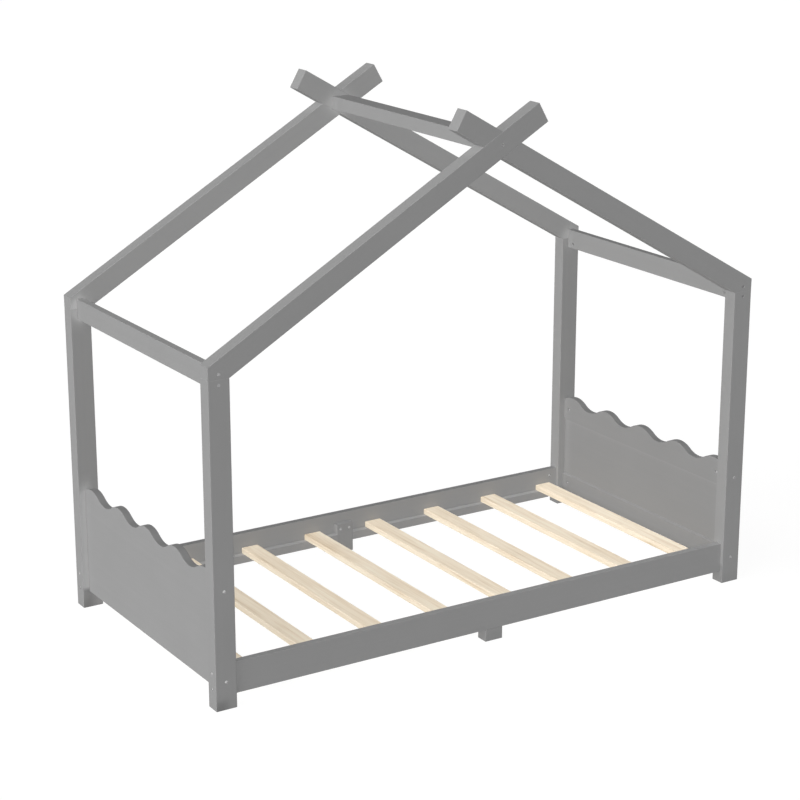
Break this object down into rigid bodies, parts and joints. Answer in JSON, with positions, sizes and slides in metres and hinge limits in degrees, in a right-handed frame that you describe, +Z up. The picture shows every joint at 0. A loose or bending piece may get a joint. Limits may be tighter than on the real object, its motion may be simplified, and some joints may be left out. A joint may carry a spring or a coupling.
{
  "type": "floor bed",
  "caption": "House-frame floor bed for a child: a low slatted base with wavy end panels, corner posts and a pitched roof frame of crossed rafters, bolted together.",
  "frame": {"origin": "on the floor, under the middle of the bed's footprint", "axes": "+X along the bed, +Y across it to the back, +Z up"},
  "size_m": [2, 0.998, 1.7107],
  "materials": {
    "grey_painted_wood": "matt grey paint",
    "bare_pine": "planed, unfinished",
    "zinc_steel": "zinc plated",
    "beech_dowel": "planed, unfinished"
  },
  "bodies": {
    "root": {"post_front_left": "grey_painted_wood", "post_front_right": "grey_painted_wood", "post_back_left": "grey_painted_wood", "post_back_right": "grey_painted_wood", "rafter_front_left": "grey_painted_wood", "rafter_front_right": "grey_painted_wood", "rafter_back_left": "grey_painted_wood", "rafter_back_right": "grey_painted_wood", "ledge_front_left": "grey_painted_wood", "ledge_front_right": "grey_painted_wood", "ledge_back_left": "grey_painted_wood", "ledge_back_right": "grey_painted_wood", "ridge_beam": "grey_painted_wood", "eave_rail_left": "grey_painted_wood", "eave_rail_right": "grey_painted_wood", "side_rail_front": "grey_painted_wood", "side_rail_back": "grey_painted_wood", "mid_leg_front": "grey_painted_wood", "mid_leg_back": "grey_painted_wood", "left_panel_top_rail": "grey_painted_wood", "left_panel_board": "grey_painted_wood", "left_panel_bottom_rail": "grey_painted_wood", "right_panel_top_rail": "grey_painted_wood", "right_panel_board": "grey_painted_wood", "right_panel_bottom_rail": "grey_painted_wood", "slat_1": "bare_pine", "slat_2": "bare_pine", "slat_3": "bare_pine", "slat_4": "bare_pine", "slat_5": "bare_pine", "slat_6": "bare_pine", "slat_7": "bare_pine", "slat_8": "bare_pine", "side_rail_bolts": "zinc_steel", "side_rail_barrel_nuts": "zinc_steel", "panel_bolts": "zinc_steel", "panel_barrel_nuts": "zinc_steel", "eave_bolts": "zinc_steel", "eave_barrel_nuts": "zinc_steel", "eave_screws": "zinc_steel", "ridge_bolts": "zinc_steel", "ridge_barrel_nuts": "zinc_steel", "mid_leg_screws": "zinc_steel", "post_top_dowels": "beech_dowel"}
  },
  "joints": []
}
